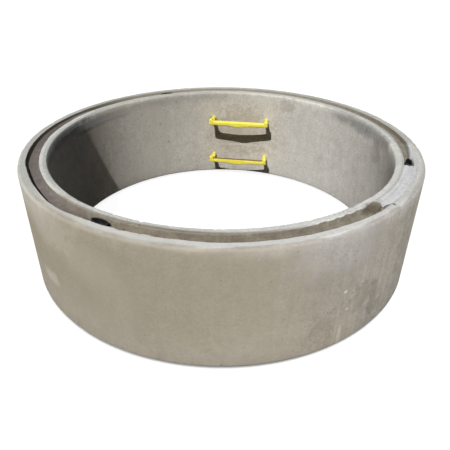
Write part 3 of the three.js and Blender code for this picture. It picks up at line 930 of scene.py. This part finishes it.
for measure, start, end, thickest in (
    (outward, tread_back - 25 * MM, tread_back - 20 * MM, 1.0),
    (level, lower + 20 * MM, lower + 15 * MM, 0.9),
    (level, lower + 3 * MM, lower + 8 * MM, 1.0),
):
    there = add_node(tree, "ShaderNodeMapRange", {
        "Value": measure, "From Min": start, "From Max": end, "To Max": thickest,
    })
    mud = add_node(tree, "ShaderNodeMath", {0: mud, 1: there}, operation="MULTIPLY")
yellow = add_node(tree, "ShaderNodeMix", {0: mud, 6: yellow, 7: "#5E4328"}, data_type="RGBA")
satin = add_node(tree, "ShaderNodeMapRange", {
    "Value": smut, "From Min": 0.3, "From Max": 0.7, "To Min": 0.38, "To Max": 0.55,
})
bump = add_node(tree, "ShaderNodeBump", {"Height": spark, "Distance": 0.15 * MM, "Strength": 0.5})
surface = add_node(tree, "ShaderNodeBsdfPrincipled", {
    "Base Color": yellow, "Roughness": satin, "IOR": 1.49, "Specular IOR Level": 0.3,
    "Normal": bump,
})
add_node(tree, "ShaderNodeOutputMaterial", {"Surface": surface})


# ---- Recess cups ----
# Each is a thin black plastic cup left in the groove when the concrete was cast. It keeps the
# recess round the anchor's head clear, and its fluted collar stands up in the groove.

CUP_WALL = 2.5 * MM
CUP_RISE = 18 * MM            # groove's floor to the cup's rim
LIP_ROUND = 1.9 * MM
FLUTE_DEPTH = 0.7 * MM
SHANK_RADIUS = 5 * MM

black_polythene = bpy.data.materials.new("black polythene")


def cup_shape(shape, side):
    """Egg-shaped bowl with a hole for the anchor's shank, a fluted collar and a round lip."""
    hole = SHANK_RADIUS + CLEARANCE
    collar_top = CUP_RISE - 1.5 * MM
    outside = [(hole, hole, -CUP_DEPTH + CLEARANCE)] + egg_rows(CLEARANCE, collar_top)[2:]
    inside = [(hole, hole, -CUP_DEPTH + CLEARANCE + CUP_WALL)]
    inside += egg_rows(CLEARANCE + CUP_WALL, collar_top)[2:]
    middle = CUP_LENGTH / 2 - CLEARANCE - CUP_WALL / 2
    across = CUP_WIDTH / 2 - CLEARANCE - CUP_WALL / 2
    lip = []
    for k in range(7):
        t = math.radians(30 * k)
        out = LIP_ROUND * math.cos(t)
        lip.append((middle + out, across + out, CUP_RISE - LIP_ROUND + LIP_ROUND * math.sin(t)))
    collar = [Vector(row) for row in outside[-2:]]
    between = [tuple(collar[0].lerp(collar[1], k / 4)) for k in (1, 2, 3)]
    rows = outside[:-1] + between + lip + inside[::-1]
    loops = [oval(*row, 96) for row in rows]
    # Flutes round the outside of the collar
    first = len(outside) - 1
    for loop in loops[first:first + 3]:
        for i, (x, y, z) in enumerate(loop):
            drawn = 1 - FLUTE_DEPTH / (CUP_WIDTH / 2) * (i % 4 < 2)
            loop[i] = (x * drawn, y * drawn, z)
    turned = lifting_place(side)
    rows = [[shape.verts.new(turned @ Vector(point)) for point in loop] for loop in loops]
    rows.append(rows[0])
    for near, far in zip(rows, rows[1:]):
        for i in range(len(near)):
            shape.faces.new((near[i - 1], near[i], far[i], far[i - 1]))


for side in LIFTING_BEARINGS:
    cup = new_piece(f"{side}_moulded_cup", lambda shape: cup_shape(shape, side))
    cup.data.shade_smooth()
    cup.data.set_sharp_from_angle(angle=math.radians(50))
    cup.data.materials.append(black_polythene)
    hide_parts(f"{side}_recess_cup")
    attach(cup, "root")

# Polythene, injection moulded in black: a waxy half gloss, dulled by cement dust in its hollows.
tree = emptied(black_polythene)
position = add_node(tree, "ShaderNodeTexCoord").outputs["Object"]
smut = add_node(tree, "ShaderNodeTexNoise", {
    "Vector": position, "Scale": 1 / 0.012, "Detail": 4.0, "Roughness": 0.6,
})
film = add_node(tree, "ShaderNodeMapRange", {
    "Value": smut, "From Min": 0.5, "From Max": 0.8, "To Max": 0.3,
})
black = add_node(tree, "ShaderNodeMix", {0: film, 6: "#1B1A1C", 7: "#5B564E"}, data_type="RGBA")
waxy = add_node(tree, "ShaderNodeMapRange", {
    "Value": smut, "From Min": 0.3, "From Max": 0.7, "To Min": 0.45, "To Max": 0.65,
})
bump = add_node(tree, "ShaderNodeBump", {"Height": smut, "Distance": 0.2 * MM, "Strength": 0.4})
surface = add_node(tree, "ShaderNodeBsdfPrincipled", {
    "Base Color": black, "Roughness": waxy, "IOR": 1.51, "Specular IOR Level": 0.2, "Normal": bump,
})
add_node(tree, "ShaderNodeOutputMaterial", {"Surface": surface})


# ---- Lifting anchors ----
# Each is a round steel bar with a forged head for the lifting clutch and a forged foot that
# holds in the concrete.

ANCHOR_LENGTH = 120 * MM
HEAD_TOP = CUP_RISE - 12 * MM
HEAD_RADIUS = 9.5 * MM
HEAD_HEIGHT = 7 * MM
FOOT_RADIUS = 12.5 * MM
FOOT_HEIGHT = 6 * MM

forged_steel = bpy.data.materials.new("forged steel")


def anchor_shape(shape, side):
    """Turned form from foot to head."""
    foot = HEAD_TOP - ANCHOR_LENGTH
    neck = HEAD_TOP - HEAD_HEIGHT
    # Each row starts from a radius and a level, and gives steps in mm out and up from them.
    profile = []
    for start, level, steps in (
        (FOOT_RADIUS, foot, [(-1.5, 0), (-0.3, 0.5), (0, 2), (-0.5, 4), (-4, 5)]),
        (SHANK_RADIUS, foot + FOOT_HEIGHT, [(1, -0.3), (0, 0)]),
        (SHANK_RADIUS, neck, [(0, -3), (0.4, -1), (1.6, 0.6)]),
        (HEAD_RADIUS, neck, [(-1.2, 1.8), (-0.2, 2.9), (0, 3.8), (-0.5, 5), (-1.8, 6), (-4, 6.7),
                             (-6.5, 6.9)]),
    ):
        profile += [(start + out * MM, level + up * MM) for out, up in steps]
    lofted(shape, lifting_place(side), [oval(r, r, z, 40) for r, z in profile])


for side in LIFTING_BEARINGS:
    lifting_anchor = new_piece(f"{side}_forged_anchor", lambda shape: anchor_shape(shape, side))
    lifting_anchor.data.shade_smooth()
    lifting_anchor.data.materials.append(forged_steel)
    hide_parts(f"{side}_lifting_anchor")
    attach(lifting_anchor, "root")

# Forged steel: a dark blue-grey mill scale with half-worn brighter patches and a bloom of rust.
tree = emptied(forged_steel)
position = add_node(tree, "ShaderNodeTexCoord").outputs["Object"]
mill_scale = add_node(tree, "ShaderNodeTexNoise", {
    "Vector": position, "Scale": 1 / 0.006, "Detail": 5.0, "Roughness": 0.65,
})
bloom = add_node(tree, "ShaderNodeTexNoise", {
    "Vector": position, "Scale": 1 / 0.010, "Detail": 4.0, "Roughness": 0.6,
})
bared = add_node(tree, "ShaderNodeMapRange", {
    "Value": mill_scale, "From Min": 0.42, "From Max": 0.62,
})
steel = add_node(tree, "ShaderNodeMix", {0: bared, 6: "#3A3A3E", 7: "#77777A"}, data_type="RGBA")
rusted = add_node(tree, "ShaderNodeMapRange", {
    "Value": bloom, "From Min": 0.55, "From Max": 0.7, "To Max": 0.6,
})
steel = add_node(tree, "ShaderNodeMix", {0: rusted, 6: steel, 7: "#6A4A34"}, data_type="RGBA")
bare_metal = add_node(tree, "ShaderNodeMapRange", {
    "Value": rusted, "From Max": 0.6, "To Min": 0.85, "To Max": 0.1,
})
dull = add_node(tree, "ShaderNodeMapRange", {
    "Value": mill_scale, "From Min": 0.3, "From Max": 0.7, "To Min": 0.62, "To Max": 0.42,
})
bump = add_node(tree, "ShaderNodeBump", {
    "Height": mill_scale, "Distance": 0.3 * MM, "Strength": 0.6,
})
surface = add_node(tree, "ShaderNodeBsdfPrincipled", {
    "Base Color": steel, "Metallic": bare_metal, "Roughness": dull, "Normal": bump,
})
add_node(tree, "ShaderNodeOutputMaterial", {"Surface": surface})


# ---- Stage ----
# Daylight on a pale yard: a sun over the viewer's left shoulder, a dim sky that leaves the shaded
# inside of the wall dark, and three low lights, level with the ground, that reach only its outside.

def add_sun(name, toward, strength, angle):
    """Adds a sun: direction toward it, strength, and size in degrees."""
    lamp = bpy.data.lights.new(name, "SUN")
    lamp.energy = strength
    lamp.angle = math.radians(angle)
    placed(name, lamp).rotation_euler = Vector(toward).to_track_quat("Z", "Y").to_euler()


add_sun("sun", (-0.233, -0.599, 0.766), 3.6, 0.3)
add_sun("right_light", (0.906, -0.423, 0.005), 2.2, 2)
add_sun("left_light", (-0.906, -0.423, 0.005), 1.3, 2)
add_sun("back_light", (0.250, 0.968, 0.005), 1.3, 2)

world = bpy.data.worlds.new("sky")
bpy.context.scene.world = world


def seen_directly(tree):
    """1 where the camera, a reflection or a clear surface shows the backdrop."""
    path = add_node(tree, "ShaderNodeLightPath")
    either = add_node(tree, "ShaderNodeMath", {
        0: path.outputs["Is Camera Ray"], 1: path.outputs["Is Glossy Ray"],
    }, operation="MAXIMUM")
    return add_node(tree, "ShaderNodeMath", {
        0: either, 1: path.outputs["Is Transmission Ray"],
    }, operation="MAXIMUM")


tree = emptied(world)
sky = add_node(tree, "ShaderNodeBackground", {"Color": "#D0DDF0", "Strength": 0.059})
backdrop = add_node(tree, "ShaderNodeBackground", {"Color": "#FFFFFF", "Strength": 1.0})
shown = add_node(tree, "ShaderNodeMixShader", {0: seen_directly(tree), 1: sky, 2: backdrop})
add_node(tree, "ShaderNodeOutputWorld", {"Surface": shown})


def yard_mesh(shape):
    """Level square of 40 m."""
    bmesh.ops.create_grid(shape, x_segments=1, y_segments=1, size=20.0)


# The yard is seen white, its glow dimmed by ambient occlusion into a painted contact shadow only in
# the narrow gap under the ring's outer edge.
floor = new_piece("floor", yard_mesh)
yard = bpy.data.materials.new("pale yard")
tree = emptied(yard)
dim = add_node(tree, "ShaderNodeBsdfDiffuse", {"Color": "#35343A"})
gap = add_node(tree, "ShaderNodeAmbientOcclusion", {"Distance": 0.03}, samples=16)
shaded = add_node(tree, "ShaderNodeMapRange", {
    "Value": gap.outputs["AO"], "From Min": 0.32, "From Max": 0.60, "To Min": 0.08, "To Max": 0.97,
}, interpolation_type="SMOOTHSTEP")
position = add_node(tree, "ShaderNodeTexCoord").outputs["Object"]
from_axis = add_node(tree, "ShaderNodeVectorMath", {0: position}, operation="LENGTH")
inside = add_node(tree, "ShaderNodeMapRange", {
    "Value": from_axis, "From Min": 0.80, "From Max": 0.79, "To Max": 0.9,
})
shaded = add_node(tree, "ShaderNodeMath", {0: shaded, 1: inside}, operation="MAXIMUM")
glow = add_node(tree, "ShaderNodeEmission", {"Color": "#FFFFFF", "Strength": shaded})
lit = add_node(tree, "ShaderNodeBsdfDiffuse", {"Color": "#5A5956"})
pale = add_node(tree, "ShaderNodeAddShader", {0: glow, 1: lit})
ground = add_node(tree, "ShaderNodeMixShader", {0: seen_directly(tree), 1: dim, 2: pale})
add_node(tree, "ShaderNodeOutputMaterial", {"Surface": ground})
floor.data.materials.append(yard)

lens = bpy.data.cameras.new("camera")
lens.lens = 37.857
lens.sensor_width = 36
camera = placed("camera", lens)
camera.location = (0, -2.0229, 1.3151)
camera.rotation_euler = [math.radians(a) for a in (58.25, -0.368, -0.233)]
bpy.context.scene.camera = camera
bpy.context.scene.view_settings.view_transform = "Standard"
